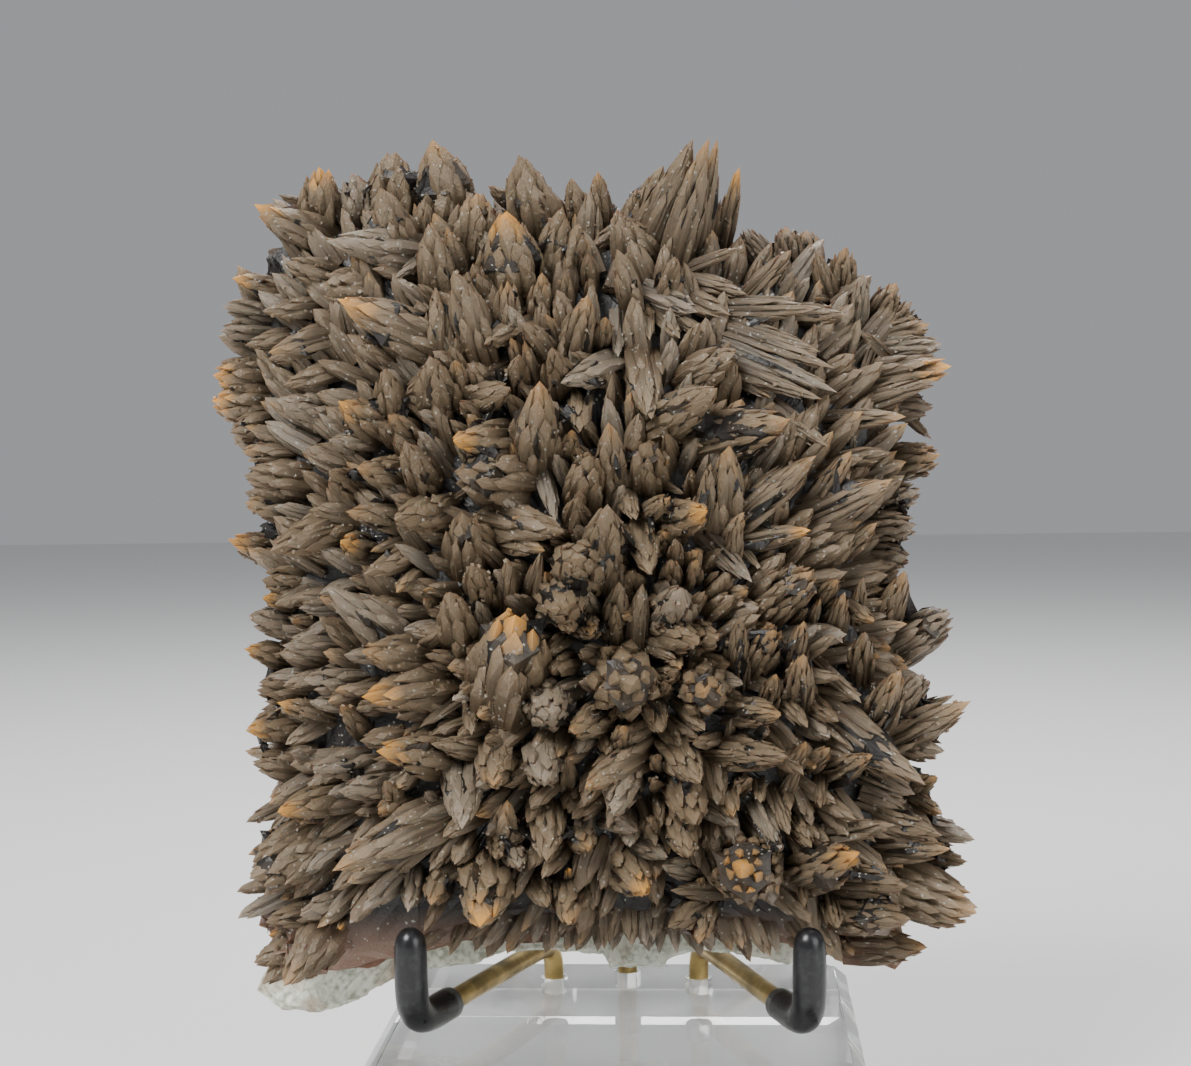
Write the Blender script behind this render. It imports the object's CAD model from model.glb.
"""Looks of the calcite specimen on its stand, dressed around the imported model."""

import logging
import math
from dataclasses import dataclass, field
from enum import Enum

import bmesh
import bpy
import numpy as np
from mathutils import Matrix, Vector, noise


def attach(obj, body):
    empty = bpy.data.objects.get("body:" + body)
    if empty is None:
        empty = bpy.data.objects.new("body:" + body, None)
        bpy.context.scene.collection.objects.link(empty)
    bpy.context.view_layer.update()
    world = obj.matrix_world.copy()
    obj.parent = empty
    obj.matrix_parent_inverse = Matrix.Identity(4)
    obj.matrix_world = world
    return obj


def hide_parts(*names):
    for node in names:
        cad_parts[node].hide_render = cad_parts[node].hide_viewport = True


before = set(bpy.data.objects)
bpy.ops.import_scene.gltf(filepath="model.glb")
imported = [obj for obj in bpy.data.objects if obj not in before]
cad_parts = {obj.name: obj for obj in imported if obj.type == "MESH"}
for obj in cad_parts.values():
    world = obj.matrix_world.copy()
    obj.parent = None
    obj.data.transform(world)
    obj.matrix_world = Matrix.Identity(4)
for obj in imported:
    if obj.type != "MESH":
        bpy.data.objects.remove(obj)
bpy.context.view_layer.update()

Colour = tuple[float, float, float]
Triple = tuple[float, float, float]
Span = tuple[float, float]
Pixel = tuple[float, float]
Socket = bpy.types.NodeSocket

MM = 0.001
WELD = 0.002 * MM
TINY = 1e-9
BODY = "root"
log = logging.getLogger("calcite")


class Kind(Enum):
    """How a crystal ends: a pointed spear or a short, plump one."""

    SPEAR = "spear"
    BLUNT = "blunt"


class Tint(Enum):
    """Colour of a crystal's tip, as (warmth, paleness)."""

    PLAIN = (0.06, 0.0)
    TAN = (0.4, 0.05)
    ORANGE = (1.0, 0.0)
    CREAM = (0.42, 0.6)
    PALE = (0.12, 0.6)


# Each row is one crystal, read by eye from the photograph and given in its pixels:
# tip x, tip y, root x, root y and greatest width.
CRYSTALS = {
    (Kind.SPEAR, Tint.ORANGE): (
        (739, 167, 722, 240, 28), (254, 205, 312, 238, 42), (505, 212, 512, 275, 64),
        (232, 277, 275, 290, 28), (770, 256, 782, 246, 14), (336, 300, 425, 338, 52),
        (338, 402, 374, 426, 42), (452, 440, 502, 442, 46), (228, 538, 270, 552, 34),
        (706, 512, 675, 520, 44), (811, 530, 752, 540, 32), (262, 598, 290, 600, 26),
        (340, 542, 366, 548, 34), (244, 648, 280, 656, 28), (277, 702, 320, 714, 28),
        (362, 698, 432, 686, 46), (246, 730, 288, 724, 38), (377, 750, 438, 755, 48),
        (278, 812, 330, 800, 42), (568, 868, 570, 880, 16), (645, 893, 627, 868, 44),
        (858, 853, 810, 872, 54), (268, 935, 290, 932, 20), (340, 930, 342, 922, 16),
        (480, 925, 486, 880, 58),
    ),
    (Kind.BLUNT, Tint.ORANGE): (
        (320, 166, 322, 215, 42), (212, 402, 252, 404, 40), (213, 374, 252, 378, 40),
        (952, 366, 882, 380, 42), (516, 613, 505, 688, 74), (742, 868, 748, 868, 70),
    ),
    (Kind.BLUNT, Tint.PLAIN): (
        (395, 152, 392, 205, 50), (620, 221, 640, 245, 36), (285, 262, 322, 275, 30),
        (320, 285, 352, 290, 40), (473, 264, 482, 292, 34), (735, 352, 698, 375, 40),
        (912, 302, 892, 325, 28), (230, 432, 262, 425, 28), (244, 474, 290, 480, 38),
        (458, 474, 508, 478, 54), (590, 456, 585, 490, 44), (645, 442, 648, 475, 42),
        (463, 514, 468, 558, 44), (262, 580, 295, 582, 34), (256, 690, 290, 692, 28),
        (630, 684, 625, 680, 66), (252, 762, 292, 766, 32), (250, 880, 300, 852, 52),
        (266, 922, 305, 915, 30),
    ),
    (Kind.BLUNT, Tint.PALE): (
        (352, 172, 362, 214, 36), (742, 230, 758, 250, 26), (220, 330, 258, 332, 28),
        (222, 306, 262, 312, 26), (697, 312, 662, 298, 30), (942, 345, 895, 352, 36),
        (934, 408, 898, 408, 30), (916, 526, 880, 528, 36), (920, 490, 886, 502, 34),
        (907, 558, 878, 556, 34), (249, 618, 284, 622, 32), (952, 613, 902, 642, 48),
        (305, 680, 345, 680, 34), (924, 674, 896, 712, 38), (942, 752, 902, 738, 40),
    ),
    (Kind.SPEAR, Tint.TAN): (
        (432, 140, 448, 203, 60), (598, 171, 600, 215, 28), (708, 137, 676, 255, 38),
        (717, 138, 698, 252, 28), (446, 228, 458, 265, 28), (543, 273, 540, 308, 30),
        (588, 295, 576, 348, 38), (815, 298, 822, 300, 16), (268, 352, 322, 340, 34),
        (545, 314, 560, 340, 20), (606, 318, 600, 338, 26), (883, 300, 880, 310, 16),
        (388, 414, 412, 436, 30), (455, 360, 460, 390, 30), (541, 382, 534, 454, 54),
        (771, 398, 738, 380, 16), (898, 402, 885, 420, 16), (906, 416, 838, 420, 28),
        (357, 468, 397, 475, 38), (572, 430, 570, 455, 26), (610, 423, 612, 480, 40),
        (668, 460, 660, 475, 16), (728, 445, 726, 510, 42), (792, 420, 712, 440, 60),
        (816, 455, 748, 512, 46), (852, 451, 818, 502, 36), (346, 512, 398, 518, 34),
        (670, 497, 650, 515, 30), (878, 523, 845, 548, 28), (894, 480, 815, 518, 46),
        (370, 552, 400, 540, 20), (396, 592, 415, 575, 24), (545, 550, 512, 543, 27),
        (697, 560, 692, 580, 24), (820, 598, 812, 622, 18), (838, 580, 822, 598, 27),
        (845, 592, 834, 628, 27), (906, 571, 886, 618, 36), (292, 620, 310, 622, 20),
        (360, 652, 415, 656, 42), (592, 632, 586, 625, 32), (802, 654, 797, 700, 40),
        (805, 621, 790, 665, 32), (875, 622, 848, 608, 27), (340, 705, 360, 725, 26),
        (512, 702, 520, 715, 20), (776, 674, 768, 702, 28), (781, 715, 738, 712, 40),
        (900, 670, 876, 722, 44), (972, 702, 893, 740, 46), (569, 730, 598, 720, 38),
        (624, 726, 620, 745, 28), (807, 742, 790, 768, 28), (830, 748, 812, 762, 27),
        (873, 755, 836, 772, 34), (938, 777, 912, 790, 28), (378, 812, 397, 805, 27),
        (494, 785, 496, 758, 42), (508, 800, 505, 840, 34), (585, 788, 630, 758, 44),
        (706, 836, 706, 848, 12), (942, 815, 912, 796, 27), (332, 870, 430, 822, 50),
        (590, 848, 580, 836, 32), (702, 878, 700, 885, 16), (951, 848, 888, 850, 36),
        (432, 905, 440, 880, 34), (568, 925, 572, 893, 40), (699, 943, 706, 912, 30),
        (855, 955, 840, 940, 22), (928, 948, 865, 945, 46), (284, 986, 318, 938, 46),
    ),
    (Kind.SPEAR, Tint.PLAIN): (
        (519, 154, 535, 222, 56), (570, 178, 580, 218, 32), (663, 165, 638, 228, 38),
        (694, 139, 650, 240, 42), (278, 195, 305, 205, 16), (380, 188, 397, 238, 44),
        (424, 200, 424, 224, 28), (428, 224, 440, 285, 44), (488, 186, 508, 200, 22),
        (563, 207, 550, 258, 38), (580, 224, 570, 265, 34), (637, 188, 628, 232, 30),
        (372, 268, 402, 272, 24), (436, 288, 440, 350, 36), (454, 270, 478, 345, 46),
        (566, 271, 566, 303, 22), (588, 253, 590, 280, 24), (590, 278, 592, 295, 18),
        (592, 246, 614, 234, 22), (618, 249, 632, 300, 34), (676, 257, 668, 292, 32),
        (684, 262, 696, 300, 20), (742, 247, 690, 268, 22), (747, 294, 700, 283, 27),
        (778, 262, 748, 290, 16), (792, 250, 755, 292, 30), (792, 252, 765, 292, 20),
        (796, 299, 735, 302, 20), (804, 298, 788, 268, 16), (816, 250, 826, 288, 27),
        (245, 345, 285, 340, 26), (262, 312, 306, 308, 27), (347, 335, 385, 360, 34),
        (430, 357, 440, 405, 46), (484, 344, 520, 326, 30), (519, 355, 516, 385, 30),
        (522, 322, 548, 350, 32), (552, 348, 560, 385, 36), (570, 352, 595, 362, 20),
        (648, 308, 650, 318, 14), (650, 340, 645, 315, 22), (680, 338, 664, 322, 22),
        (703, 332, 686, 322, 20), (730, 316, 695, 300, 28), (815, 309, 731, 310, 32),
        (820, 352, 735, 325, 26), (845, 315, 805, 315, 30), (858, 330, 880, 350, 20),
        (268, 360, 300, 352, 30), (283, 386, 325, 374, 28), (385, 369, 393, 412, 38),
        (405, 395, 425, 380, 20), (457, 388, 490, 372, 16), (460, 402, 478, 415, 26),
        (511, 388, 478, 400, 38), (612, 375, 608, 420, 16), (719, 389, 665, 422, 52),
        (822, 400, 735, 368, 27), (826, 382, 735, 350, 24), (835, 368, 730, 332, 32),
        (845, 365, 865, 380, 18), (855, 400, 865, 370, 14), (936, 380, 870, 402, 28),
        (328, 472, 352, 486, 32), (405, 442, 425, 485, 42), (580, 432, 580, 402, 32),
        (652, 420, 642, 370, 42), (666, 433, 672, 458, 24), (704, 447, 682, 436, 20),
        (711, 463, 706, 520, 34), (812, 447, 790, 428, 14), (820, 430, 785, 410, 14),
        (828, 446, 785, 415, 27), (892, 452, 845, 460, 27), (930, 475, 908, 470, 20),
        (932, 440, 905, 415, 18), (394, 520, 437, 512, 44), (425, 520, 455, 498, 14),
        (512, 505, 530, 475, 14), (565, 532, 505, 520, 42), (608, 504, 602, 568, 52),
        (636, 520, 625, 495, 26), (684, 494, 665, 484, 14), (740, 520, 730, 562, 27),
        (270, 550, 330, 530, 44), (364, 574, 408, 556, 30), (425, 598, 432, 610, 20),
        (449, 592, 462, 635, 44), (472, 565, 482, 598, 38), (508, 558, 508, 600, 27),
        (541, 553, 533, 592, 24), (575, 560, 580, 570, 60), (620, 582, 614, 622, 30),
        (642, 583, 638, 635, 28), (650, 574, 642, 535, 38), (672, 560, 670, 580, 27),
        (676, 540, 676, 560, 24), (762, 570, 738, 545, 16), (863, 577, 858, 610, 22),
        (318, 616, 352, 640, 28), (357, 618, 388, 638, 14), (443, 630, 420, 645, 22),
        (568, 608, 560, 602, 54), (571, 632, 560, 600, 40), (606, 646, 612, 665, 28),
        (614, 604, 614, 635, 24), (675, 658, 650, 645, 22), (698, 642, 668, 632, 42),
        (717, 638, 697, 635, 36), (741, 617, 735, 665, 34), (748, 655, 745, 680, 16),
        (808, 608, 795, 620, 16), (865, 632, 860, 668, 34), (893, 622, 893, 655, 16),
        (423, 665, 440, 670, 16), (490, 700, 492, 720, 18), (645, 665, 655, 690, 30),
        (665, 684, 662, 690, 24), (732, 718, 730, 735, 14), (862, 703, 825, 670, 20),
        (955, 695, 905, 715, 20), (419, 728, 452, 705, 16), (431, 743, 475, 750, 27),
        (472, 735, 470, 712, 20), (568, 758, 568, 782, 22), (655, 758, 658, 766, 22),
        (662, 733, 650, 702, 34), (692, 744, 715, 740, 22), (747, 755, 715, 752, 24),
        (752, 778, 740, 790, 20), (788, 757, 735, 752, 42), (800, 765, 785, 795, 22),
        (808, 728, 785, 700, 27), (838, 722, 812, 704, 27), (866, 778, 870, 760, 12),
        (386, 780, 395, 805, 26), (527, 822, 538, 802, 22), (652, 818, 650, 832, 26),
        (654, 782, 657, 785, 22), (695, 823, 686, 792, 44), (700, 783, 677, 752, 40),
        (738, 795, 742, 780, 16), (761, 803, 760, 785, 20), (790, 835, 775, 800, 26),
        (791, 810, 785, 790, 18), (820, 808, 820, 785, 22), (896, 824, 835, 834, 28),
        (925, 786, 836, 724, 50), (942, 836, 888, 818, 34), (258, 850, 300, 830, 30),
        (285, 885, 318, 850, 28), (495, 858, 500, 840, 26), (548, 862, 545, 815, 40),
        (670, 890, 710, 890, 24), (690, 857, 680, 828, 38), (812, 848, 795, 825, 27),
        (908, 886, 848, 880, 42), (968, 862, 928, 856, 27), (548, 908, 536, 885, 27),
        (668, 928, 700, 907, 34), (805, 908, 800, 880, 20), (838, 928, 830, 905, 27),
        (911, 920, 850, 912, 50), (254, 964, 298, 944, 40), (262, 984, 302, 952, 34),
        (302, 980, 326, 952, 30),
    ),
    (Kind.SPEAR, Tint.PALE): (
        (272, 272, 300, 300, 28), (326, 240, 402, 250, 42), (395, 278, 425, 258, 20),
        (408, 252, 425, 246, 14), (864, 274, 858, 314, 28), (618, 357, 617, 328, 20),
        (275, 400, 315, 412, 36), (560, 384, 608, 368, 36), (838, 393, 735, 348, 30),
        (328, 440, 360, 446, 30), (531, 457, 535, 435, 22), (853, 433, 852, 450, 10),
        (274, 510, 285, 535, 18), (497, 493, 518, 482, 16), (556, 522, 545, 478, 24),
        (576, 508, 573, 488, 14), (325, 588, 392, 632, 46), (682, 590, 670, 618, 46),
        (752, 582, 715, 545, 30), (282, 645, 328, 648, 28), (477, 600, 485, 625, 24),
        (843, 643, 828, 630, 16), (553, 714, 548, 704, 50), (870, 684, 885, 684, 12),
        (930, 680, 905, 700, 30), (290, 752, 312, 755, 24), (312, 770, 360, 762, 36),
        (338, 792, 385, 785, 34), (425, 792, 435, 800, 18), (462, 828, 463, 778, 44),
        (545, 783, 543, 757, 44), (614, 815, 625, 777, 44), (638, 830, 614, 820, 27),
        (915, 795, 870, 775, 30), (520, 868, 512, 850, 30), (662, 866, 690, 870, 27),
        (668, 858, 640, 843, 27), (780, 850, 760, 812, 30), (976, 840, 920, 826, 34),
        (300, 915, 330, 905, 30), (362, 912, 394, 880, 28), (408, 912, 414, 882, 27),
        (653, 918, 662, 902, 20),
    ),
    (Kind.BLUNT, Tint.TAN): (
        (478, 192, 474, 235, 46), (508, 280, 508, 322, 30), (845, 247, 842, 282, 32),
        (897, 283, 880, 312, 30), (930, 325, 892, 335, 30), (242, 452, 280, 452, 28),
        (940, 455, 900, 462, 38), (244, 503, 286, 508, 30), (812, 572, 773, 602, 50),
        (775, 630, 757, 658, 40), (704, 690, 704, 688, 52), (976, 914, 905, 888, 60),
    ),
    (Kind.BLUNT, Tint.CREAM): (
        (785, 227, 788, 250, 32), (806, 230, 808, 254, 30),
    ),
    (Kind.SPEAR, Tint.CREAM): (
        (820, 243, 815, 258, 20),
    ),
}

# The crystal cover's outline in the photograph's pixels, clockwise from its top left.
CRUST_OUTLINE = (
    (300, 240), (345, 212), (420, 203), (500, 208), (575, 214), (650, 228), (720, 250), (790, 268),
    (850, 298), (888, 345), (896, 420), (884, 500), (876, 580), (886, 660), (902, 740), (908, 820),
    (900, 885), (862, 935), (795, 948), (715, 942), (630, 936), (545, 940), (470, 944), (405, 962),
    (340, 974), (292, 974), (274, 945), (278, 880), (284, 800), (284, 720), (288, 640), (288, 570),
    (278, 500), (262, 430), (254, 360), (266, 295),
)
HEART = (640, 660)


def linked(name: str, data: bpy.types.ID) -> bpy.types.Object:
    """Makes an object of its data and puts it in the scene.

    Args:
        name: The object's name.
        data: Its mesh, light or camera.

    Returns:
        The object.
    """
    thing = bpy.data.objects.new(name, data)
    bpy.context.scene.collection.objects.link(thing)
    return thing


@dataclass(frozen=True)
class Eye:
    """The viewpoint, fitted to the stand's rods, sleeves and slab."""

    place: Triple = (15.4 * MM, -284.4 * MM, 102 * MM)
    yaw: float = math.radians(3.53)
    pitch: float = math.radians(3.12)
    roll: float = math.radians(-0.85)
    focal_pixels: float = 2100.0
    frame_width: float = 1191.0
    middle: Pixel = (595.5, 533.0)
    sensor: float = 36.0
    clip_start: float = 10 * MM

    def axes(self) -> tuple[np.ndarray, np.ndarray, np.ndarray]:
        """Works out the view's axes.

        Returns:
            The right, up and forward directions.
        """
        flat = math.cos(self.pitch)
        forward = np.array((-math.sin(self.yaw) * flat, math.cos(self.yaw) * flat, -math.sin(self.pitch)))
        level = np.array((math.cos(self.yaw), math.sin(self.yaw), 0.0))
        steep = np.cross(level, forward)
        right = level * math.cos(self.roll) + steep * math.sin(self.roll)
        up = steep * math.cos(self.roll) - level * math.sin(self.roll)
        return right, up, forward

    def sight(self, pixel: Pixel) -> np.ndarray:
        """Finds the direction in which a pixel is seen.

        Args:
            pixel: Place in the photograph's frame.

        Returns:
            A unit direction from the eye.
        """
        right, up, forward = self.axes()
        across = (pixel[0] - self.middle[0]) / self.focal_pixels
        down = (pixel[1] - self.middle[1]) / self.focal_pixels
        ray = forward + right * across - up * down
        return ray / np.linalg.norm(ray)

    def camera(self) -> None:
        """Makes the scene's camera at the viewpoint."""
        data = bpy.data.cameras.new("camera")
        data.sensor_width = self.sensor
        data.lens = self.focal_pixels * self.sensor / self.frame_width
        data.clip_start = self.clip_start
        right, up, forward = (Vector(axis) for axis in self.axes())
        turn = Matrix((right, up, -forward)).transposed().to_4x4()
        camera = linked("camera", data)
        camera.matrix_world = Matrix.Translation(self.place) @ turn
        bpy.context.scene.camera = camera


@dataclass
class Plate:
    """The leaning plane that the crystals grow on, and the low dome of their cover."""

    eye: Eye
    lean: float = math.radians(9)
    foot: Triple = (0.0, 2 * MM, 26.3 * MM)
    dome_shares: tuple[float, ...] = (0.0, 0.38, 0.70, 0.91, 1.0, 1.05)
    dome_heights: tuple[float, ...] = (14.8, 13.9, 11.4, 7.8, 3.6, 0.4)
    settling_steps: int = 4

    def __post_init__(self) -> None:
        """Works out the plate's axes, its heart and its outline's radius by angle."""
        self.right = np.array((1.0, 0.0, 0.0))
        self.up = np.array((0.0, math.sin(self.lean), math.cos(self.lean)))
        self.outward = np.array((0.0, -math.cos(self.lean), math.sin(self.lean)))
        self.heart = self.on_plate(HEART, 0.0)
        corners = [self.flat(self.on_plate(pixel, 0.0)) for pixel in CRUST_OUTLINE]
        polar = sorted((math.atan2(v, u), math.hypot(u, v)) for u, v in corners)
        self.angles, self.radii = (np.array(column) for column in zip(*polar))
        first = self.on_plate(CRUST_OUTLINE[0], 0.0)
        self.span = float(np.linalg.norm(first - self.heart))

    def on_plate(self, pixel: Pixel, height: float) -> np.ndarray:
        """Finds where a pixel's line of sight meets the plane at a height over the plate.

        Args:
            pixel: Place in the photograph's frame.
            height: Height over the plate in metres.

        Returns:
            The point met.
        """
        start = np.array(self.eye.place)
        ray = self.eye.sight(pixel)
        plane = np.array(self.foot) + self.outward * height
        return start + ray * (np.dot(plane - start, self.outward) / np.dot(ray, self.outward))

    def flat(self, point: np.ndarray) -> tuple[float, float]:
        """Gives a point's place along the plate's right and up axes, from the heart."""
        offset = point - self.heart
        return float(offset @ self.right), float(offset @ self.up)

    def share(self, point: np.ndarray) -> float:
        """Says how far out a point is.

        Args:
            point: A point over the plate.

        Returns:
            0 at the heart and 1 at the outline.
        """
        u, v = self.flat(point)
        edge = np.interp(math.atan2(v, u), self.angles, self.radii, period=math.tau)
        return math.hypot(u, v) / float(edge)

    def surface(self, pixel: Pixel) -> tuple[np.ndarray, float]:
        """Finds the point of the dome that a pixel shows.

        Args:
            pixel: Place in the photograph's frame.

        Returns:
            The point, and its share of the way to the outline.
        """
        height = self.dome_heights[2] * MM
        share = 0.0
        for _ in range(self.settling_steps):
            share = self.share(self.on_plate(pixel, height))
            height = float(np.interp(share, self.dome_shares, self.dome_heights)) * MM
        return self.on_plate(pixel, height), share


def smooth_step(value: float) -> float:
    """Eases a value between 0 and 1."""
    held = min(max(value, 0.0), 1.0)
    return held * held * (3 - 2 * held)


class Shader:
    """A material's node tree, with short calls to add and join its nodes."""

    def __init__(self, name: str) -> None:
        """Starts a material with a Principled shader.

        Args:
            name: Name of the material.
        """
        self.material = bpy.data.materials.new(name)
        self.material.use_nodes = True
        self.nodes = self.material.node_tree.nodes
        self.links = self.material.node_tree.links
        self.principled = next(node for node in self.nodes if node.type == "BSDF_PRINCIPLED")

    def set(self, **values: object) -> None:
        """Sets the shader's own sockets, with underscores for the spaces of their names."""
        for name, value in values.items():
            self.principled.inputs[name.replace("_", " ")].default_value = value

    def add(self, kind: str, inputs: dict | None = None, **settings: object) -> bpy.types.Node:
        """Adds a node.

        Args:
            kind: The node's type name, without its ShaderNode start.
            inputs: Values or sockets by input name or number.
            settings: The node's own settings.

        Returns:
            The node.
        """
        node = self.nodes.new("ShaderNode" + kind)
        for name, value in settings.items():
            setattr(node, name, value)
        for name, value in (inputs or {}).items():
            if isinstance(value, Socket):
                self.links.new(value, node.inputs[name])
            else:
                node.inputs[name].default_value = value
        return node

    def noise(self, where: Socket, scale: float, detail: float = 3.0) -> Socket:
        """Adds a noise and gives its value."""
        return self.add("TexNoise", {"Vector": where, "Scale": scale, "Detail": detail}).outputs["Fac"]

    def maths(self, operation: str, first: object, second: object) -> Socket:
        """Adds a sum on two values and gives its result, held between 0 and 1."""
        return self.add("Math", {0: first, 1: second}, operation=operation, use_clamp=True).outputs[0]

    def times(self, first: object, second: object) -> Socket:
        """Multiplies two values."""
        return self.maths("MULTIPLY", first, second)

    def grade(self, value: Socket, span: Span, result: Span = (0.0, 1.0), form: str = "LINEAR") -> Socket:
        """Carries a value from one span over to another.

        Args:
            value: What is read.
            span: The values that give the two ends of the result.
            result: The two ends.
            form: The way between them.

        Returns:
            The graded value.
        """
        ends = {0: value, 1: span[0], 2: span[1], 3: result[0], 4: result[1]}
        return self.add("MapRange", ends, interpolation_type=form).outputs[0]

    def axis(self, vector: Socket, number: int) -> Socket:
        """Gives one of a vector's three parts."""
        return self.add("SeparateXYZ", {0: vector}).outputs[number]

    def read(self, name: str, output: str) -> Socket:
        """Reads an attribute of the mesh."""
        return self.add("Attribute", attribute_name=name).outputs[output]

    def stretch(self, where: Socket, scale: Triple) -> Socket:
        """Stretches the space that a pattern reads."""
        return self.add("Mapping", {"Vector": where, "Scale": scale}).outputs[0]

    def ramp(self, value: Socket, stops: tuple) -> Socket:
        """Adds a colour ramp.

        Args:
            value: What the ramp reads.
            stops: Pairs of a position and a colour.

        Returns:
            The ramp's colour.
        """
        node = self.add("ValToRGB", {0: value})
        elements = node.color_ramp.elements
        while len(elements) < len(stops):
            elements.new(0.5)
        for element, (position, colour) in zip(elements, stops):
            element.position = position
            element.color = (*colour, 1.0)
        return node.outputs[0]

    def mix(self, factor: object, first: object, second: object) -> Socket:
        """Mixes two colours.

        Args:
            factor: How much of the second colour shows.
            first: A colour or the socket of one.
            second: A colour or the socket of one.

        Returns:
            The mixed colour.
        """
        node = self.add("Mix", {0: factor}, data_type="RGBA")
        for number, value in ((6, first), (7, second)):
            if isinstance(value, Socket):
                self.links.new(value, node.inputs[number])
            else:
                node.inputs[number].default_value = (*value, 1.0)
        return node.outputs[2]

    def bump(self, height: Socket, distance: float, strength: float) -> None:
        """Roughens the surface by a height in metres."""
        node = self.add("Bump", {"Height": height, "Distance": distance, "Strength": strength})
        self.links.new(node.outputs[0], self.principled.inputs["Normal"])

    def colour(self, socket: Socket) -> None:
        """Sends a colour to the shader."""
        self.links.new(socket, self.principled.inputs["Base Color"])

    def roughness(self, socket: Socket) -> None:
        """Sends a roughness to the shader."""
        self.links.new(socket, self.principled.inputs["Roughness"])


@dataclass(frozen=True)
class Finish:
    """What every finish shares: its material's name and how the material is made."""

    name: str

    def make(self) -> bpy.types.Material:
        """Builds the material.

        Returns:
            The material.
        """
        shader = Shader(self.name)
        self.paint(shader, shader.add("TexCoord").outputs["Object"])
        return shader.material

    def paint(self, shader: Shader, place: Socket) -> None:
        """Sets the shader's own values and its pattern.

        Args:
            shader: The material's node tree.
            place: Where a point lies on the object.
        """
        raise NotImplementedError


@dataclass(frozen=True)
class CalciteFinish(Finish):
    """Brown, sugary calcite that lightens from dark roots to tan or orange tips."""

    name: str = "calcite_brown"
    root: Colour = (0.007, 0.005, 0.003)
    shade: Colour = (0.058, 0.043, 0.027)
    lit: Colour = (0.175, 0.137, 0.092)
    tan: Colour = (0.33, 0.215, 0.105)
    orange: Colour = (0.80, 0.36, 0.04)
    pale: Colour = (0.42, 0.40, 0.35)
    pink: Colour = (0.30, 0.17, 0.11)
    pink_below: float = 36 * MM
    pink_fade: float = 7 * MM
    pink_least: float = 0.75
    depth_stops: Triple = (0.14, 0.42, 0.92)
    patch_scale: float = 170.0
    patch_weight: float = 0.34
    along_weight: float = 0.72
    chance_weight: float = 0.10
    grain_scale: float = 2600.0
    grain_weight: float = 0.16
    grain_relief: float = 0.5
    layer_stretch: Triple = (9.0, 9.0, 1.1)
    layer_scale: float = 1.6
    tip_span: Span = (0.74, 1.0)
    tip_strength: float = 1.5
    ridge_span: Span = (0.52, 0.62)
    ridge_strength: float = 0.25
    dust_strength: float = 0.9
    glint_scale: float = 3600.0
    glint_from: float = 0.982
    glint_strength: float = 0.75
    gloss: Span = (0.5, 0.12)
    relief: float = 0.45 * MM
    relief_strength: float = 0.55

    def paint(self, shader: Shader, place: Socket) -> None:
        """Layers depth, warm tips, worn ridges, pale dust, the pink band and glints.

        Args:
            shader: The material's node tree.
            place: Where a point lies on the object.
        """
        shader.set(Roughness=self.gloss[0], IOR=1.6, Subsurface_Weight=0.1, Subsurface_Scale=0.0015)
        along = shader.read("along", "Fac")
        tone = shader.read("tone", "Vector")
        warmth, paleness, chance = (shader.axis(tone, number) for number in range(3))
        patches = shader.noise(place, self.patch_scale)
        grain = shader.noise(place, self.grain_scale, detail=2.0)
        lengthwise = shader.stretch(shader.read("own", "Vector"), self.layer_stretch)
        layers = shader.noise(lengthwise, self.layer_scale, detail=4.0)
        depth = shader.times(patches, self.patch_weight)
        depth = shader.maths("ADD", depth, shader.times(along, self.along_weight))
        depth = shader.maths("ADD", depth, shader.times(chance, self.chance_weight))
        depth = shader.maths("SUBTRACT", depth, shader.times(grain, self.grain_weight))
        colour = shader.ramp(depth, tuple(zip(self.depth_stops, (self.root, self.shade, self.lit))))
        warm = shader.mix(warmth, self.tan, self.orange)
        near_tip = shader.grade(along, self.tip_span, form="SMOOTHSTEP")
        colour = shader.mix(shader.times(near_tip, shader.times(warmth, self.tip_strength)), colour, warm)
        worn = shader.grade(shader.add("NewGeometry").outputs["Pointiness"], self.ridge_span)
        colour = shader.mix(shader.times(worn, self.ridge_strength), colour, self.tan)
        dust = shader.times(paleness, shader.times(layers, self.dust_strength))
        colour = shader.mix(dust, colour, self.pale)
        low = shader.grade(shader.axis(place, 2), (self.pink_below, self.pink_below - self.pink_fade))
        low = shader.times(low, shader.maths("SUBTRACT", self.pink_least, along))
        colour = shader.mix(low, colour, self.pink)
        cells = shader.add("TexVoronoi", {"Vector": place, "Scale": self.glint_scale}).outputs["Color"]
        shine = shader.add("SeparateColor", {0: cells}).outputs[0]
        glint = shader.maths("GREATER_THAN", shine, self.glint_from)
        shader.colour(shader.mix(shader.times(glint, self.glint_strength), colour, self.pale))
        shader.roughness(shader.grade(glint, (0.0, 1.0), self.gloss))
        height = shader.maths("ADD", shader.times(grain, self.grain_relief), layers)
        shader.bump(height, self.relief, self.relief_strength)


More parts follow.
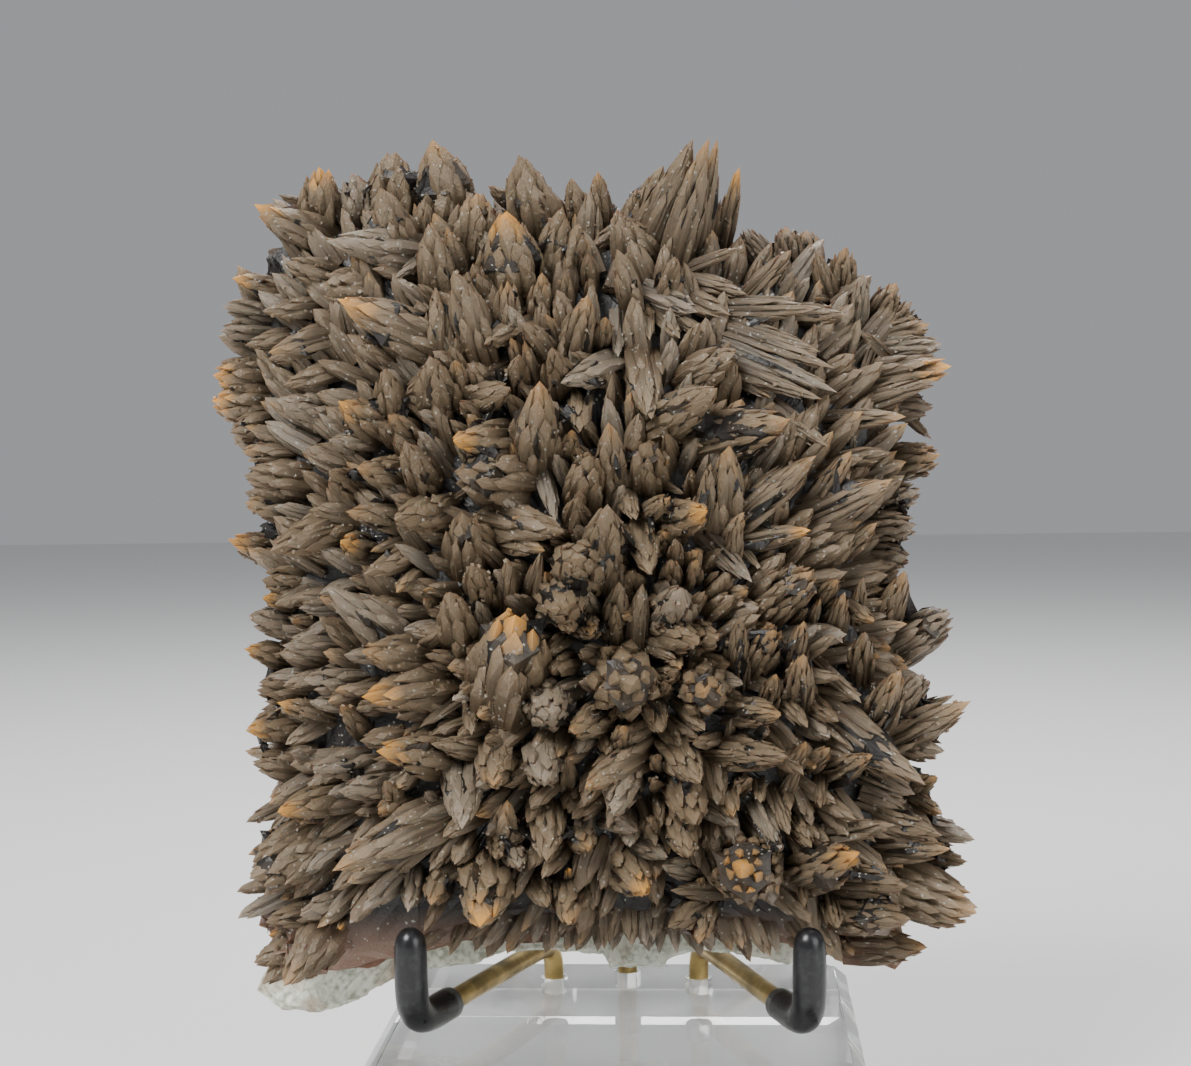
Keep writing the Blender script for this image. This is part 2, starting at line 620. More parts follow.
@dataclass(frozen=True)
class RockFinish(Finish):
    """White-green granular rock at the front rim, duller on the broken back."""

    name: str = "granular_rock"
    grain_light: Colour = (0.80, 0.82, 0.70)
    grain_dark: Colour = (0.42, 0.44, 0.34)
    back: Colour = (0.30, 0.27, 0.21)
    stain: Colour = (0.34, 0.22, 0.13)
    grain_scale: float = 1100.0
    grain_stops: Span = (0.34, 0.56)
    patch_scale: float = 120.0
    back_span: Span = (5 * MM, 12 * MM)
    back_strength: float = 0.8
    stain_span: Span = (0.56, 0.68)
    stain_strength: float = 0.7
    relief: float = 0.5 * MM
    relief_strength: float = 0.6

    def paint(self, shader: Shader, place: Socket) -> None:
        """Lays light and dark grains, a dull back and brown stains.

        Args:
            shader: The material's node tree.
            place: Where a point lies on the object.
        """
        shader.set(Roughness=0.72, IOR=1.55, Subsurface_Weight=0.08, Subsurface_Scale=0.001)
        grain = shader.noise(place, self.grain_scale, detail=4.0)
        patches = shader.noise(place, self.patch_scale, detail=4.0)
        colour = shader.ramp(grain, tuple(zip(self.grain_stops, (self.grain_dark, self.grain_light))))
        rear = shader.grade(shader.axis(place, 1), self.back_span)
        dull = shader.mix(patches, self.back, self.grain_dark)
        colour = shader.mix(shader.times(rear, self.back_strength), colour, dull)
        stained = shader.grade(patches, self.stain_span)
        shader.colour(shader.mix(shader.times(stained, self.stain_strength), colour, self.stain))
        shader.bump(grain, self.relief, self.relief_strength)


@dataclass(frozen=True)
class BrassFinish(Finish):
    """Aged brass, gold-brown with an olive shade."""

    name: str = "aged_brass"
    bright: Colour = (0.62, 0.44, 0.17)
    aged: Colour = (0.26, 0.19, 0.07)
    patch_scale: float = 210.0
    patch_stops: Span = (0.36, 0.64)
    gloss: Span = (0.42, 0.22)
    fine_scale: float = 2400.0
    relief: float = 0.05 * MM
    relief_strength: float = 0.3

    def paint(self, shader: Shader, place: Socket) -> None:
        """Lays bright and aged patches over a fine grain.

        Args:
            shader: The material's node tree.
            place: Where a point lies on the object.
        """
        shader.set(Metallic=1.0)
        patches = shader.noise(place, self.patch_scale, detail=5.0)
        shader.colour(shader.ramp(patches, tuple(zip(self.patch_stops, (self.aged, self.bright)))))
        shader.roughness(shader.grade(patches, (0.0, 1.0), self.gloss))
        shader.bump(shader.noise(place, self.fine_scale, detail=2.0), self.relief, self.relief_strength)


@dataclass(frozen=True)
class VinylFinish(Finish):
    """Black flexible vinyl with a soft gloss and a little dust."""

    name: str = "black_vinyl"
    black: Colour = (0.006, 0.006, 0.007)
    dusty: Colour = (0.03, 0.03, 0.031)
    dust_scale: float = 900.0
    dust_stops: Span = (0.5, 0.8)
    gloss: Span = (0.2, 0.42)
    relief: float = 0.04 * MM
    relief_strength: float = 0.25

    def paint(self, shader: Shader, place: Socket) -> None:
        """Dusts the black a little.

        Args:
            shader: The material's node tree.
            place: Where a point lies on the object.
        """
        shader.set(IOR=1.5)
        dust = shader.noise(place, self.dust_scale, detail=4.0)
        shader.colour(shader.ramp(dust, tuple(zip(self.dust_stops, (self.black, self.dusty)))))
        shader.roughness(shader.grade(dust, (0.0, 1.0), self.gloss))
        shader.bump(dust, self.relief, self.relief_strength)


@dataclass(frozen=True)
class AcrylicFinish(Finish):
    """Clear cast acrylic with polished faces and faint wear."""

    name: str = "clear_acrylic"
    clear: Colour = (0.985, 0.992, 0.99)
    scratch_stretch: Triple = (1.0, 0.08, 1.0)
    scratch_scale: float = 1800.0
    scratch_span: Span = (0.6, 0.75)
    gloss: Span = (0.015, 0.09)
    relief: float = 0.01 * MM
    relief_strength: float = 0.12

    def paint(self, shader: Shader, place: Socket) -> None:
        """Scratches the polish faintly from front to back.

        Args:
            shader: The material's node tree.
            place: Where a point lies on the object.
        """
        shader.set(Base_Color=(*self.clear, 1.0), Transmission_Weight=1.0, IOR=1.49)
        scratches = shader.noise(shader.stretch(place, self.scratch_stretch), self.scratch_scale, detail=2.0)
        shader.roughness(shader.grade(scratches, self.scratch_span, self.gloss))
        shader.bump(scratches, self.relief, self.relief_strength)


@dataclass
class Blades:
    """Flat-faced calcite blades, each placed by its base, its tip and its width."""

    rng: np.random.Generator
    variants: int = 10
    stations: tuple[float, ...] = (0.0, 0.34, 0.60, 0.80)
    widths: tuple[float, ...] = (0.74, 0.96, 1.0, 0.80)
    valley: float = 0.74
    shoulder: float = 0.07
    sides: int = 6
    angle_jitter: float = 0.13
    radius_span: Span = (0.9, 1.06)
    station_jitter: float = 0.03
    tip_jitter: float = 0.06
    pattern_step: float = 3.7
    places: list = field(default_factory=list)

    def add(self, base: np.ndarray, tip: np.ndarray, size: Span, face: np.ndarray, tone: Span) -> None:
        """Places one blade.

        Args:
            base: Middle of the blade's root.
            tip: The blade's point.
            size: Width across its face and its thickness.
            face: Direction in which one of its ridges turns.
            tone: Warmth and paleness of its tip.
        """
        axis = tip - base
        length = float(np.linalg.norm(axis))
        axis = axis / length
        ridge = face - axis * float(face @ axis)
        ridge = ridge / max(float(np.linalg.norm(ridge)), TINY)
        cross = np.cross(axis, ridge)
        turn = Matrix((Vector(ridge), Vector(cross), Vector(axis))).transposed().to_euler("XYZ")
        chance = float(self.rng.random())
        self.places.append((base, tuple(turn), (size[1], size[0], length), (*tone, chance)))

    def shape(self, number: int) -> bpy.types.Object:
        """Makes one unit blade, a long pointed form with six uneven sides.

        Args:
            number: Which of the variants it is.

        Returns:
            The blade's object, kept out of the scene.
        """
        mesh = bpy.data.meshes.new(f"blade_{number}")
        points = []
        for station, (along, width) in enumerate(zip(self.stations, self.widths)):
            last = station == len(self.stations) - 1
            for side in range(self.sides):
                ridge = side % 2 == 0
                turn = self.rng.uniform(-self.angle_jitter, self.angle_jitter)
                angle = math.tau * (side + turn) / self.sides
                radius = 0.5 * width * (1.0 if ridge else self.valley) * self.rng.uniform(*self.radius_span)
                jitter = self.station_jitter
                drop = self.rng.uniform(-jitter, jitter) if station else 0.0
                if last:
                    drop += -self.shoulder if ridge else self.shoulder
                points.append((radius * math.cos(angle), radius * math.sin(angle), along + drop))
        points.append((*self.rng.uniform(-self.tip_jitter, self.tip_jitter, 2), 1.0))
        faces = [tuple(reversed(range(self.sides)))]
        for station in range(len(self.stations) - 1):
            for side in range(self.sides):
                first = station * self.sides + side
                second = station * self.sides + (side + 1) % self.sides
                faces.append((first, second, second + self.sides, first + self.sides))
        top = (len(self.stations) - 1) * self.sides
        peak = len(points) - 1
        faces += [(top + side, top + (side + 1) % self.sides, peak) for side in range(self.sides)]
        mesh.from_pydata(points, [], faces)
        along = mesh.attributes.new("along", "FLOAT", "POINT")
        along.data.foreach_set("value", [point[2] for point in points])
        own = mesh.attributes.new("own", "FLOAT_VECTOR", "POINT")
        shift = number * self.pattern_step
        own.data.foreach_set("vector", [part + shift for point in points for part in point])
        return bpy.data.objects.new(f"blade_{number}", mesh)

    def realize(self, name: str, places: list, material: bpy.types.Material) -> bpy.types.Object:
        """Turns placed blades into one plain mesh.

        Args:
            name: The piece's name.
            places: The blades' bases, turns, sizes and tones.
            material: Their finish.

        Returns:
            The piece.
        """
        stock = bpy.data.collections.new(name + "_blades")
        for number in range(self.variants):
            stock.objects.link(self.shape(number))
        mesh = bpy.data.meshes.new(name + "_places")
        mesh.from_pydata([tuple(place[0]) for place in places], [], [])
        for label, column in (("turn", 1), ("size", 2), ("tone", 3)):
            layer = mesh.attributes.new(label, "FLOAT_VECTOR", "POINT")
            layer.data.foreach_set("vector", [value for place in places for value in place[column]])
        pick = mesh.attributes.new("pick", "INT", "POINT")
        choices = self.rng.integers(0, self.variants, len(places))
        pick.data.foreach_set("value", [int(choice) for choice in choices])
        holder = linked(name + "_places", mesh)
        tree = NodeGroup("place_blades")
        blades = tree.input("Blades", "NodeSocketCollection")
        finish = tree.input("Finish", "NodeSocketMaterial")
        scale = tree.input("Scale", "NodeSocketFloat")
        info = tree.add("CollectionInfo", {"Collection": tree.given(blades), "Separate Children": True})
        sized = tree.add("Math", {}, prefix="ShaderNodeVector", operation="SCALE")
        tree.join(tree.attribute("size", "FLOAT_VECTOR"), sized.inputs[0])
        tree.join(tree.given(scale), sized.inputs["Scale"])
        spread = tree.add("InstanceOnPoints", {
            "Points": tree.given("Geometry"),
            "Instance": info.outputs[0],
            "Pick Instance": True,
            "Instance Index": tree.attribute("pick", "INT"),
            "Rotation": tree.attribute("turn", "FLOAT_VECTOR"),
            "Scale": sized.outputs[0],
        })
        tree.end(spread.outputs[0], tree.given(finish))
        return tree.apply(holder, name, {blades: stock, finish: material, scale: 1.0})


class NodeGroup:
    """A geometry node tree with named inputs, which ends in realized instances and a material."""

    def __init__(self, name: str) -> None:
        """Starts the tree.

        Args:
            name: The tree's name.
        """
        self.tree = bpy.data.node_groups.new(name, "GeometryNodeTree")
        self.tree.interface.new_socket("Geometry", in_out="INPUT", socket_type="NodeSocketGeometry")
        self.tree.interface.new_socket("Geometry", in_out="OUTPUT", socket_type="NodeSocketGeometry")
        self.start = self.tree.nodes.new("NodeGroupInput")

    def input(self, name: str, kind: str) -> str:
        """Adds a named input and gives its identifier."""
        return self.tree.interface.new_socket(name, in_out="INPUT", socket_type=kind).identifier

    def given(self, key: str) -> Socket:
        """Finds an input's socket by its identifier or name."""
        return next(socket for socket in self.start.outputs if key in (socket.identifier, socket.name))

    def join(self, source: Socket, target: Socket) -> None:
        """Links two sockets."""
        self.tree.links.new(source, target)

    def add(self, kind: str, inputs: dict, prefix: str = "GeometryNode",
            **settings: object) -> bpy.types.Node:
        """Adds a node.

        Args:
            kind: The node's type name without its prefix.
            inputs: Values or sockets by input name or number.
            prefix: Start of the type name.
            settings: The node's own settings.

        Returns:
            The node.
        """
        node = self.tree.nodes.new(prefix + kind)
        for name, value in settings.items():
            setattr(node, name, value)
        for name, value in inputs.items():
            if isinstance(value, Socket):
                self.join(value, node.inputs[name])
            else:
                node.inputs[name].default_value = value
        return node

    def attribute(self, name: str, kind: str) -> Socket:
        """Reads a named attribute.

        Args:
            name: The attribute's name.
            kind: Its type.

        Returns:
            The attribute's value.
        """
        node = self.add("InputNamedAttribute", {}, data_type=kind)
        node.inputs["Name"].default_value = name
        return next(socket for socket in node.outputs if socket.enabled and socket.name == "Attribute")

    def end(self, shapes: Socket, finish: Socket) -> None:
        """Realizes the instances, gives them their finish and ends the tree.

        Args:
            shapes: The instances.
            finish: The material.
        """
        real = self.add("RealizeInstances", {"Geometry": shapes})
        dressed = self.add("SetMaterial", {"Geometry": real.outputs[0], "Material": finish})
        stop = self.tree.nodes.new("NodeGroupOutput")
        self.join(dressed.outputs[0], stop.inputs[0])

    def apply(self, holder: bpy.types.Object, name: str, values: dict) -> bpy.types.Object:
        """Runs the tree on an object and keeps the result as a plain mesh.

        Args:
            holder: The object whose mesh the tree reads; it is removed.
            name: The new piece's name.
            values: The modifier's inputs by identifier.

        Returns:
            The new piece.
        """
        modifier = holder.modifiers.new(name, "NODES")
        modifier.node_group = self.tree
        for identifier, value in values.items():
            modifier[identifier] = value
        graph = bpy.context.evaluated_depsgraph_get()
        evaluated = holder.evaluated_get(graph)
        mesh = bpy.data.meshes.new_from_object(evaluated, preserve_all_data_layers=True, depsgraph=graph)
        mesh.name = name
        bpy.data.objects.remove(holder)
        return linked(name, mesh)


def keep(piece: bpy.types.Object, slot: str, *nodes: str) -> None:
    """Puts a finished piece on the part's body, with its slot and the nodes it stands for.

    Args:
        piece: The finished piece.
        slot: The material slot that its finish belongs to.
        nodes: The solids it stands for.
    """
    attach(piece, BODY)
    if nodes:
        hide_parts(*nodes)
    log.info("%s: %d faces", piece.name, len(piece.data.polygons))


def merged_copy(node: str) -> bmesh.types.BMesh:
    """Copies a CAD node's mesh with its loose triangles joined.

    Args:
        node: The node's name.

    Returns:
        The copy as a working mesh.
    """
    shape = bmesh.new()
    shape.from_mesh(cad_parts[node].data)
    bmesh.ops.remove_doubles(shape, verts=shape.verts, dist=WELD)
    bmesh.ops.recalc_face_normals(shape, faces=shape.faces)
    return shape


def fine_copy(node: str, most: int) -> bmesh.types.BMesh:
    """Copies a CAD node's mesh and divides its triangles evenly.

    Args:
        node: The node's name.
        most: The most triangles that the copy may have.

    Returns:
        The copy as a working mesh.
    """
    shape = merged_copy(node)
    cuts = int(math.sqrt(most / len(shape.faces))) - 1
    bmesh.ops.subdivide_edges(shape, edges=shape.edges, cuts=cuts, use_grid_fill=True)
    bmesh.ops.triangulate(shape, faces=shape.faces)
    shape.normal_update()
    return shape


def relief(place: Vector, patterns: tuple[Span, ...]) -> float:
    """Adds up noises, each given by its scale and its height in millimetres."""
    return sum(noise.noise(place * scale) * height for scale, height in patterns)


def placed(shape: bmesh.types.BMesh, name: str, material: bpy.types.Material) -> bpy.types.Object:
    """Turns a working mesh into a piece with its material.

    Args:
        shape: The working mesh, which is freed.
        name: The piece's name.
        material: Its finish.

    Returns:
        The piece.
    """
    mesh = bpy.data.meshes.new(name)
    shape.to_mesh(mesh)
    shape.free()
    mesh.materials.append(material)
    return linked(name, mesh)


@dataclass
class Specimen:
    """The rock plate, the massive calcite on it and the crystals that splay out of it."""

    plate: Plate
    seed: int = 11
    embed: float = 3.0 * MM
    longest: float = 17 * MM
    slant: float = 1.12
    edge_from: float = 0.45
    edge_run: float = 0.4
    stubbiness: float = 1.5
    slimness: float = 2.1
    side_on_from: float = 735.0
    side_on_more: float = 1.5
    side_on_width: float = 0.62
    core_share: float = 0.60
    side_on_core: float = 0.52
    core_depth: float = 0.9
    blade_depth: float = 0.8
    base_flare: float = 1.04
    base_least: float = 0.3
    nearly_sideways: float = 0.8
    turn_jitter: float = 0.25
    spread_span: Span = (0.72, 0.98)
    width_span: Span = (0.85, 1.15)
    tone_span: Span = (0.6, 1.1)
    dust_least: float = 0.45
    filler_spacing: float = 24.0
    filler_jitter: float = 9.0
    filler_room: float = 13.0
    filler_lowest: float = 900.0
    filler_low_from: float = 800.0
    filler_length: Span = (3.6 * MM, 6.2 * MM)
    filler_width: Span = (2.8 * MM, 4.6 * MM)
    filler_splay: float = math.radians(80)
    splay_power: float = 0.8
    filler_wander: float = 0.2
    rim_step: float = 0.055
    rim_share: float = 0.97
    rim_taper: float = 0.012
    rim_rise: float = 0.12
    rim_back: float = 0.3
    rim_heights: Triple = (0.6, 3.2, 6.0)
    rim_length: Span = (3.2 * MM, 5.4 * MM)
    rim_width: Span = (2.4 * MM, 3.8 * MM)
    rim_wander: float = 0.16
    rim_lowest: float = 32 * MM
    rim_gaps: float = 0.1
    left_to: float = -14 * MM
    right_from: float = 16 * MM
    fine_faces: int = 90000
    mass_relief: tuple[Span, ...] = ((900.0, 0.45), (320.0, 0.5))
    mass_inset: float = 1.15
    rock_relief: tuple[Span, ...] = ((1300.0, 0.22), (600.0, 0.3))
    rock_breaks: Triple = (150.0, 1.6, 0.5)
    rock_inset: float = 0.12
    rock_back_from: float = 4 * MM
    rock_back_run: float = 6 * MM
    left_grains: float = 90000.0
    other_grains: float = 40000.0
    small_grains: float = 30000.0
    grain_sizes: Span = (0.18 * MM, 0.5 * MM)

    # Rings of blades round a core: where their tips lie along it, their width's share, and their tint's.
    RINGS = (
        (0.80, 0.95, 0.46, 0.7),
        (0.60, 0.80, 0.42, 0.15),
        (0.40, 0.60, 0.38, 0.0),
        (0.20, 0.40, 0.36, 0.0),
    )
    # From each width in millimetres, the blades in each ring.
    COUNTS = ((6.6, (5, 8, 8, 6)), (5.0, (5, 7, 6, 4)), (3.4, (4, 5, 4, 0)), (0.0, (3, 3, 0, 0)))
    SMALL_COUNTS = (3, 3, 0, 0)
    # How a bundle narrows towards its tip, as the two powers of its outline.
    OUTLINES = {Kind.BLUNT: (3.6, 0.6), Kind.SPEAR: (2.2, 0.8)}
    SMALL_TINTS = (Tint.PLAIN, Tint.PLAIN, Tint.PLAIN, Tint.TAN, Tint.PALE)
    RIM_TINTS = (Tint.PLAIN, Tint.TAN, Tint.PALE)

    def __post_init__(self) -> None:
        """Seeds the specimen's random draws."""
        self.rng = np.random.default_rng(self.seed)
        self.blades = Blades(self.rng)

    def lines(self) -> list:
        """Works out each seen crystal's root, tip, width, kind and tint in space.

        Returns:
            A row for each crystal.
        """
        eye = self.plate.eye
        start = np.array(eye.place)
        found = []
        for (kind, tint), rows in CRYSTALS.items():
            for tip_x, tip_y, root_x, root_y, width in rows:
                root, _ = self.plate.surface((root_x, root_y))
                ray = eye.sight((tip_x, tip_y))
                nearest = start + ray * float((root - start) @ ray)
                seen = float(np.linalg.norm(nearest - root))
                across = width * float(np.linalg.norm(nearest - start)) / eye.focal_pixels
                reach = float(np.linalg.norm(root - self.plate.heart)) / self.plate.span
                edge = min(max((reach - self.edge_from) / self.edge_run, 0.0), 1.0)
                stubby = self.stubbiness if kind is Kind.BLUNT else self.slimness
                natural = min(across * stubby, self.longest)
                length = max(seen * self.slant, natural * (1 - edge) + seen * edge)
                lift = math.sqrt(max(length * length - seen * seen, 0.0))
                found.append((root, nearest - ray * lift, across, kind, tint, tip_x > self.side_on_from))
        return found

    def bundle(self, root: np.ndarray, tip: np.ndarray, across: float, kind: Kind, tint: Tint,
               side_on: bool, counts: tuple[int, ...] = ()) -> None:
        """Builds one crystal as a bundle of near-parallel blades on a plump outline.

        Args:
            root: Where the crystal leaves the crust.
            tip: Its point.
            across: Its greatest width.
            kind: Pointed or plump.
            tint: Colour of its tip.
            side_on: Whether it is seen from the side, as many thin laths.
            counts: Blades in each ring round the core, or none to choose them by the width.
        """
        axis = tip - root
        length = float(np.linalg.norm(axis))
        axis = axis / length
        sideways = abs(axis[0]) >= self.nearly_sideways
        side = np.cross(axis, self.plate.up if sideways else self.plate.right)
        side = side / np.linalg.norm(side)
        other = np.cross(axis, side)
        warm, pale = tint.value
        rng = self.rng
        counts = counts or next(some for least, some in self.COUNTS if across >= least * MM)
        core = across * (self.side_on_core if side_on else self.core_share)
        self.blades.add(root - axis * self.embed, tip, (core, core * self.core_depth), side, (warm, pale))
        power, curve = self.OUTLINES[kind]
        for (low, high, share, strength), count in zip(self.RINGS, counts):
            count = round(count * self.side_on_more) if side_on else count
            first = rng.uniform(0, math.tau)
            for number in range(count):
                angle = first + math.tau * (number + rng.uniform(-self.turn_jitter, self.turn_jitter)) / count
                radial = side * math.cos(angle) + other * math.sin(angle)
                along = rng.uniform(low, high)
                spread = 0.5 * across * (1 - along ** power) ** curve * rng.uniform(*self.spread_span)
                end = root + axis * length * along + radial * spread
                flare = max(spread * self.base_flare, self.base_least * across)
                base = root - axis * self.embed + radial * flare
                narrow = self.side_on_width if side_on else 1.0
                width = across * share * rng.uniform(*self.width_span) * narrow
                shown = strength * rng.uniform(*self.tone_span)
                tone = (warm * shown, pale * max(shown, self.dust_least))
                self.blades.add(base, end, (width, width * self.blade_depth), radial, tone)

    def fillers(self) -> None:
        """Fills the crust between the seen crystals with small bundles that splay the same way."""
        rng = self.rng
        roots = np.array([row[2:4] for rows in CRYSTALS.values() for row in rows], float)
        corners = np.array(CRUST_OUTLINE)
        low, high = corners.min(axis=0), corners.max(axis=0)
        for y in np.arange(low[1], high[1], self.filler_spacing):
            for x in np.arange(low[0], high[0], self.filler_spacing):
                pixel = np.array((x, y)) + rng.uniform(-self.filler_jitter, self.filler_jitter, 2)
                point, share = self.plate.surface(pixel)
                crowded = np.hypot(*(roots - pixel).T).min() < self.filler_room
                under = pixel[1] > self.filler_lowest and pixel[0] < self.filler_low_from
                if share > 1.0 or crowded or under:
                    continue
                self.small(point, share, rng.uniform(*self.filler_length), rng.uniform(*self.filler_width))

    def small(self, point: np.ndarray, share: float, length: float, across: float) -> None:
        """Adds one small bundle on the crust.

        Args:
            point: Its root.
            share: How far out it is.
            length: Its length.
            across: Its width.
        """
        rng = self.rng
        u, v = self.plate.flat(point)
        away = self.plate.right * u + self.plate.up * v
        away = away / max(float(np.linalg.norm(away)), TINY)
        slope = self.filler_splay * share ** self.splay_power
        axis = self.plate.outward * math.cos(slope) + away * math.sin(slope)
        axis = axis + rng.normal(0, self.filler_wander, 3)
        axis = axis / np.linalg.norm(axis)
        tint = self.SMALL_TINTS[rng.choice(len(self.SMALL_TINTS))]
        self.bundle(point, point + axis * length, across, Kind.SPEAR, tint, False, self.SMALL_COUNTS)

    def rim(self) -> None:
        """Sets small crystals all round the cover's edge, pointing out and a little back."""
        rng = self.rng
        for turn in np.arange(0, math.tau, self.rim_step):
            radius = float(np.interp(turn, self.plate.angles, self.plate.radii, period=math.tau))
            away = self.plate.right * math.cos(turn) + self.plate.up * math.sin(turn)
            for height in self.rim_heights:
                share = self.rim_share - self.rim_taper * height
                point = self.plate.heart + away * radius * share + self.plate.outward * height * MM
                rise = self.rim_rise * height - self.rim_back
                axis = away + self.plate.outward * rise + rng.normal(0, self.rim_wander, 3)
                axis = axis / np.linalg.norm(axis)
                length = rng.uniform(*self.rim_length)
                low = point[2] < self.rim_lowest
                if low or rng.random() < self.rim_gaps:
                    continue
                tint = self.RIM_TINTS[rng.choice(len(self.RIM_TINTS))]
                across = rng.uniform(*self.rim_width)
                self.bundle(point, point + axis * length, across, Kind.SPEAR, tint, False, self.SMALL_COUNTS)

    @staticmethod
    def between(places: list, low: float, high: float) -> list:
        """Picks the blades whose roots lie between two places from left to right."""
        return [place for place in places if low <= place[0][0] < high]

    def crust(self, material: bpy.types.Material) -> bpy.types.Object:
        """Makes the massive calcite under the crystals, rough and a little behind their faces.

        Args:
            material: Its finish.

        Returns:
            The piece.
        """
        shape = fine_copy("calcite_crust", self.fine_faces)
        for vertex in shape.verts:
            vertex.co += vertex.normal * (relief(vertex.co, self.mass_relief) - self.mass_inset) * MM
        return placed(shape, "calcite_mass", material)

    def rock(self, material: bpy.types.Material) -> bpy.types.Object:
        """Makes the granular rock plate, broken and pitted on its back.

        Args:
            material: Its finish.

        Returns:
            The piece.
        """
        shape = fine_copy("matrix", self.fine_faces)
        scale, height, sunk = self.rock_breaks
        for vertex in shape.verts:
            coarse = abs(noise.noise(vertex.co * scale)) * height - sunk
            behind = smooth_step((vertex.co.y - self.rock_back_from) / self.rock_back_run)
            rise = relief(vertex.co, self.rock_relief) + coarse * behind - self.rock_inset
            vertex.co += vertex.normal * rise * MM
        return placed(shape, "granular_rock", material)

    def grains(self, source: bpy.types.Object, name: str, density: float,
               material: bpy.types.Material) -> bpy.types.Object:
        """Sprinkles tiny sugary grains over a piece.

        Args:
            source: The piece they sit on.
            name: The new piece's name.
            density: Grains for each square metre.
            material: Their finish.

        Returns:
            The grains as one piece.
        """
        holder = linked(name + "_ground", source.data.copy())
        tree = NodeGroup("sprinkle_grains")
        thick = tree.input("Density", "NodeSocketFloat")
        least = tree.input("Smallest", "NodeSocketFloat")
        most = tree.input("Largest", "NodeSocketFloat")
        finish = tree.input("Finish", "NodeSocketMaterial")
        spots = tree.add("DistributePointsOnFaces", {"Mesh": tree.given("Geometry"), "Seed": self.seed})
        tree.join(tree.given(thick), spots.inputs["Density"])
        grain = tree.add("MeshCube", {"Size": (1.0, 1.0, 1.0)})
        sizes = tree.add("RandomValue", {}, prefix="FunctionNode", data_type="FLOAT")
        tree.join(tree.given(least), sizes.inputs[2])
        tree.join(tree.given(most), sizes.inputs[3])
        turns = tree.add("RandomValue", {}, prefix="FunctionNode", data_type="FLOAT_VECTOR")
        turns.inputs[1].default_value = (math.tau, math.tau, math.tau)
        spread = tree.add("InstanceOnPoints", {
            "Points": spots.outputs[0],
            "Instance": grain.outputs[0],
            "Rotation": turns.outputs[0],
            "Scale": sizes.outputs[1],
        })
        tree.end(spread.outputs[0], tree.given(finish))
        values = {thick: density, least: self.grain_sizes[0], most: self.grain_sizes[1], finish: material}
        return tree.apply(holder, name, values)

    def build(self, calcite: bpy.types.Material, rock: bpy.types.Material) -> None:
        """Builds the specimen's pieces and puts them on their body.

        Args:
            calcite: Finish of the crystals and the mass under them.
            rock: Finish of the rock plate.
        """
        for line in self.lines():
            self.bundle(*line)
        seen = len(self.blades.places)
        self.fillers()
        filled = len(self.blades.places)
        self.rim()
        places = self.blades.places
        large = places[:seen]
        # Each piece of crystals, its blades and its grains for each square metre.
        parts = (
            ("crystals_left", self.between(large, -math.inf, self.left_to), self.left_grains),
            ("crystals_middle", self.between(large, self.left_to, self.right_from), self.other_grains),
            ("crystals_right", self.between(large, self.right_from, math.inf), self.other_grains),
            ("crystals_small", places[seen:filled], self.small_grains),
            ("crystals_edge", places[filled:], self.small_grains),
        )
        keep(self.crust(calcite), "calcite", "calcite_crust")
        keep(self.rock(rock), "rock", "matrix")
        for name, some, density in parts:
            piece = self.blades.realize(name, some, calcite)
            keep(piece, "calcite")
            keep(self.grains(piece, name + "_grains", density, calcite), "calcite")


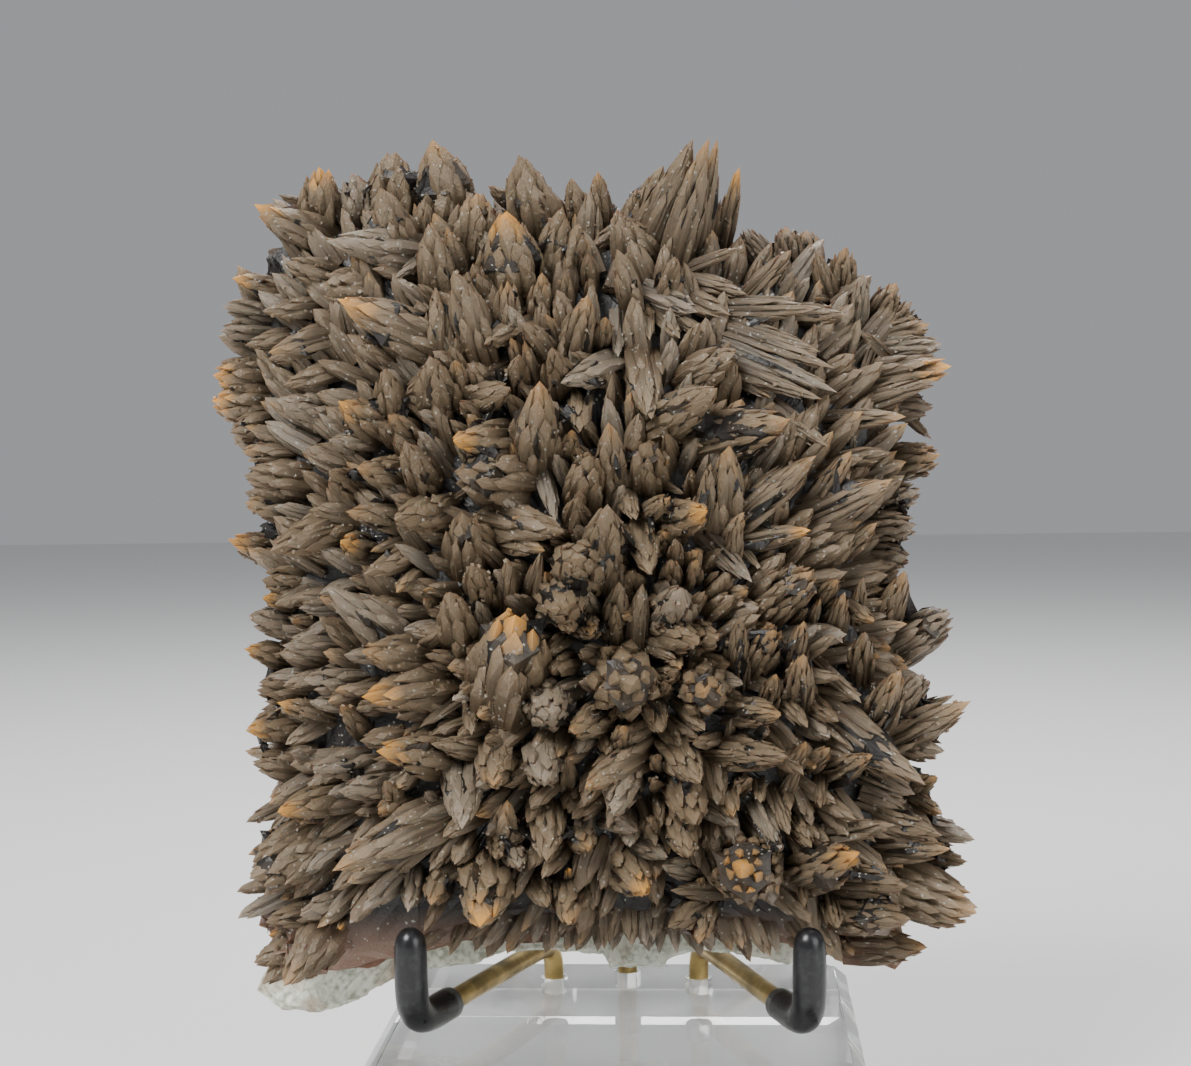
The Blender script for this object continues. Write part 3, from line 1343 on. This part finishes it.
@dataclass
class Stand:
    """The clear slab, the brass rods and the black sleeves."""

    rods: tuple[str, ...] = ("left_arm", "right_arm", "back_support")
    sleeves: tuple[str, ...] = ("left_sleeve", "right_sleeve", "back_sleeve")
    slab: str = "acrylic_base"
    levels: int = 2
    crease_angle: float = math.radians(60)
    joined_angle: float = math.radians(12)
    joined_skew: float = math.radians(80)
    flat_angle: float = math.radians(1)
    sharp_angle: float = math.radians(30)
    edge_round: float = 0.3 * MM
    edge_segments: int = 2

    def tube(self, node: str, name: str, material: bpy.types.Material) -> bpy.types.Object:
        """Makes a round, smooth version of a faceted tube.

        Args:
            node: The faceted solid's name.
            name: The new piece's name.
            material: Its finish.

        Returns:
            The piece.
        """
        shape = merged_copy(node)
        bmesh.ops.join_triangles(
            shape, faces=shape.faces, angle_face_threshold=self.joined_angle,
            angle_shape_threshold=self.joined_skew,
        )
        crease = shape.edges.layers.float.new("crease_edge")
        for edge in shape.edges:
            if len(edge.link_faces) == 2 and edge.calc_face_angle(0.0) > self.crease_angle:
                edge[crease] = 1.0
        for face in shape.faces:
            face.smooth = True
        piece = placed(shape, name, material)
        modifier = piece.modifiers.new("round", "SUBSURF")
        modifier.levels = self.levels
        modifier.render_levels = self.levels
        return piece

    def clear_slab(self, material: bpy.types.Material) -> bpy.types.Object:
        """Makes the slab with fine rounded edges.

        Args:
            material: Its finish.

        Returns:
            The piece.
        """
        shape = merged_copy(self.slab)
        bmesh.ops.dissolve_limit(shape, angle_limit=self.flat_angle, verts=shape.verts, edges=shape.edges)
        piece = placed(shape, "clear_slab", material)
        modifier = piece.modifiers.new("edges", "BEVEL")
        modifier.width = self.edge_round
        modifier.segments = self.edge_segments
        modifier.limit_method = "ANGLE"
        modifier.angle_limit = self.sharp_angle
        return piece

    def build(self) -> None:
        """Builds the stand's pieces and puts them on their body."""
        brass = BrassFinish().make()
        vinyl = VinylFinish().make()
        for node in self.rods:
            keep(self.tube(node, node + "_rod", brass), "brass_rod", node)
        for node in self.sleeves:
            keep(self.tube(node, node + "_tube", vinyl), "vinyl", node)
        keep(self.clear_slab(AcrylicFinish().make()), "acrylic", self.slab)


@dataclass
class Studio:
    """A pale floor and soft lights."""

    floor_side: float = 3.0
    floor_height: float = -0.1 * MM
    floor_colour: tuple = (0.74, 0.74, 0.73, 1.0)
    floor_roughness: float = 0.6
    aim: Triple = (0.0, 0.0, 0.08)
    # Each lamp's name, place, size in metres and power in watts.
    lamps: tuple = (
        ("key_light", (-0.34, -0.42, 0.58), 0.34, 7.0),
        ("fill_light", (0.50, -0.42, 0.30), 0.50, 2.6),
        ("top_light", (0.05, 0.30, 0.62), 0.40, 5.0),
    )
    sky: tuple = (0.80, 0.82, 0.86, 1.0)
    sky_strength: float = 0.42

    def build(self) -> None:
        """Makes the floor, the lights and the sky."""
        half = self.floor_side / 2
        mesh = bpy.data.meshes.new("floor")
        corners = [(x * half, y * half, self.floor_height) for x, y in ((-1, -1), (1, -1), (1, 1), (-1, 1))]
        mesh.from_pydata(corners, [], [(0, 1, 2, 3)])
        shader = Shader("pale_floor")
        shader.set(Base_Color=self.floor_colour, Roughness=self.floor_roughness)
        mesh.materials.append(shader.material)
        linked("floor", mesh)
        for name, place, size, energy in self.lamps:
            data = bpy.data.lights.new(name, "AREA")
            data.shape = "DISK"
            data.size = size
            data.energy = energy
            lamp = linked(name, data)
            lamp.location = place
            lamp.rotation_euler = (Vector(place) - Vector(self.aim)).to_track_quat("Z", "Y").to_euler()
        world = bpy.data.worlds.new("sky")
        world.use_nodes = True
        ground = world.node_tree.nodes["Background"]
        ground.inputs[0].default_value = self.sky
        ground.inputs[1].default_value = self.sky_strength
        bpy.context.scene.world = world


def main() -> None:
    """Builds the view, the specimen, the stand and the studio."""
    logging.basicConfig(level=logging.INFO, format="%(name)s: %(message)s")
    eye = Eye()
    eye.camera()
    Studio().build()
    Specimen(Plate(eye)).build(CalciteFinish().make(), RockFinish().make())
    Stand().build()


if __name__ == "__main__":
    main()
